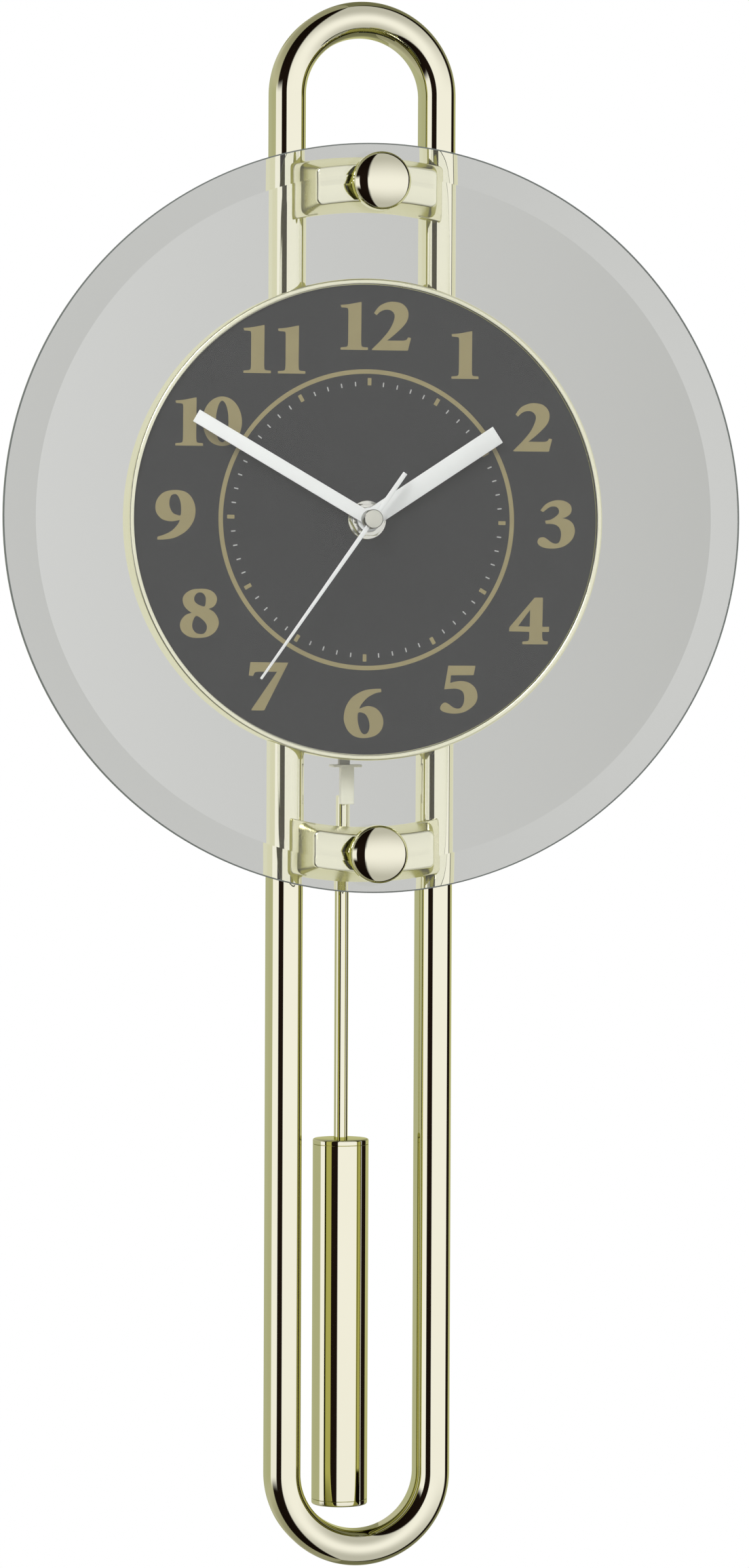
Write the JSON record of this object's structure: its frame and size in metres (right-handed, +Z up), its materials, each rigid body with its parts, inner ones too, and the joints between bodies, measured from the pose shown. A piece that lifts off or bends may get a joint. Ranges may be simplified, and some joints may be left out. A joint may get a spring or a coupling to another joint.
{
  "type": "wall clock",
  "caption": "Quartz pendulum wall clock: plated loop frame, round dial behind a clear bevelled glass disc, straight hands and a swinging cylindrical bob.",
  "frame": {"origin": "centre of the hanging keyhole, on the wall plane", "axes": "+Z up along the frame, +Y into the wall, +X to the right as seen from the front"},
  "size_m": [0.272, 0.0708, 0.5764],
  "materials": {
    "gold_plate": "polished pale gold plating",
    "satin_gold": "fine satin pale gold plating with polished edges",
    "clear_glass": "clear float glass, ground and polished bevel",
    "clear_nylon": "translucent nylon",
    "steel_screw": "zinc plated",
    "housing_gold": "metallised pale gold moulding",
    "dial_print": "fine matt dark grey print with gold figures",
    "zinc_sheet": "zinc plated sheet",
    "black_rubber": "moulded rubber",
    "nickel": "bright nickel",
    "case_plastic": "fine spark-textured black moulding",
    "green_board": "solder mask",
    "chip_black": "moulded epoxy",
    "copper_wire": "enamelled copper winding",
    "core_iron": "soft iron lamination",
    "battery_wrap": "plain printed sleeve",
    "wheel_plastic": "natural acetal",
    "magnet": "sintered magnet",
    "hand_white": "satin white paint on aluminium",
    "cap_steel": "circular brushed",
    "cream_plastic": "cream moulding",
    "weight_iron": "plain bar"
  },
  "bodies": {
    "clock": {"frame_loop": "gold_plate", "upper_bridge": "satin_gold", "lower_bridge": "satin_gold", "bridge_screws": "steel_screw", "glass_studs": "steel_screw", "glass_disc": "clear_glass", "glass_washers": "clear_nylon", "upper_knob": "gold_plate", "lower_knob": "gold_plate", "dial_housing": "housing_gold", "dial_plate": "dial_print", "housing_screws": "steel_screw", "mounting_plate": "zinc_sheet", "plate_screws": "steel_screw", "movement_gasket": "black_rubber", "centre_washer": "nickel", "hex_nut": "nickel", "movement_front_case": "case_plastic", "movement_back_case": "case_plastic", "case_screws": "steel_screw", "circuit_board": "green_board", "quartz_crystal": "nickel", "control_chip": "chip_black", "step_coil": "copper_wire", "stator": "core_iron", "battery": "battery_wrap", "battery_contacts": "nickel", "pendulum_case": "case_plastic", "pendulum_coil": "copper_wire", "pivot_pin": "steel_screw", "back_box": "case_plastic", "box_screws": "steel_screw", "hanger_plate": "zinc_sheet", "hanger_screws": "steel_screw"},
    "rotor": {"rotor": "magnet"},
    "intermediate": {"intermediate_wheel": "wheel_plastic"},
    "seconds": {"second_wheel": "wheel_plastic", "second_hand": "hand_white", "second_hand_cap": "cap_steel"},
    "third": {"third_wheel": "wheel_plastic"},
    "minutes": {"centre_wheel": "wheel_plastic", "minute_hand": "hand_white"},
    "motion": {"motion_wheel": "wheel_plastic"},
    "hours": {"hour_wheel": "wheel_plastic", "hour_hand": "hand_white"},
    "setting": {"setting_knob": "case_plastic"},
    "pendulum": {"pendulum_lever": "wheel_plastic", "pendulum_magnet": "magnet", "pendulum_hook": "cream_plastic", "pendulum_rod": "gold_plate", "bob_tube": "gold_plate", "bob_caps": "gold_plate", "bob_weight": "weight_iron"}
  },
  "joints": [
    {"name": "second_turn", "type": "hinge", "parent": "clock", "child": "seconds", "pos_m": [0, -0.04, -0.052], "axis": [0, 1, 0], "continuous": true},
    {"name": "minute_turn", "type": "hinge", "parent": "clock", "child": "minutes", "pos_m": [0, -0.04, -0.052], "axis": [0, 1, 0], "continuous": true},
    {"name": "hour_turn", "type": "hinge", "parent": "clock", "child": "hours", "pos_m": [0, -0.04, -0.052], "axis": [0, 1, 0], "continuous": true},
    {"name": "rotor_turn", "type": "hinge", "parent": "clock", "child": "rotor", "pos_m": [0.00568, -0.011, -0.03932], "axis": [0, 1, 0], "continuous": true},
    {"name": "intermediate_turn", "type": "hinge", "parent": "clock", "child": "intermediate", "pos_m": [0.00689, -0.011, -0.04621], "axis": [0, 1, 0], "continuous": true},
    {"name": "third_turn", "type": "hinge", "parent": "clock", "child": "third", "pos_m": [-0.00736, -0.013, -0.04775], "axis": [0, 1, 0], "continuous": true},
    {"name": "motion_turn", "type": "hinge", "parent": "clock", "child": "motion", "pos_m": [0.00677, -0.017, -0.05446], "axis": [0, 1, 0], "continuous": true},
    {"name": "setting_turn", "type": "hinge", "parent": "clock", "child": "setting", "pos_m": [0.01563, -0.01, -0.0529], "axis": [0, 1, 0], "continuous": true},
    {"name": "pendulum_swing", "type": "hinge", "parent": "clock", "child": "pendulum", "pos_m": [-0.0036, -0.0135, -0.09], "axis": [0, 1, 0], "range_deg": [-4, 4]}
  ],
  "couplings": [
    {"joint": "minute_turn", "follows": "second_turn", "ratio": 0.016667},
    {"joint": "hour_turn", "follows": "second_turn", "ratio": 0.0013889},
    {"joint": "rotor_turn", "follows": "second_turn", "ratio": 30},
    {"joint": "intermediate_turn", "follows": "second_turn", "ratio": -5},
    {"joint": "third_turn", "follows": "second_turn", "ratio": -0.13333},
    {"joint": "motion_turn", "follows": "second_turn", "ratio": -0.0055556},
    {"joint": "setting_turn", "follows": "second_turn", "ratio": 0.0083333}
  ]
}
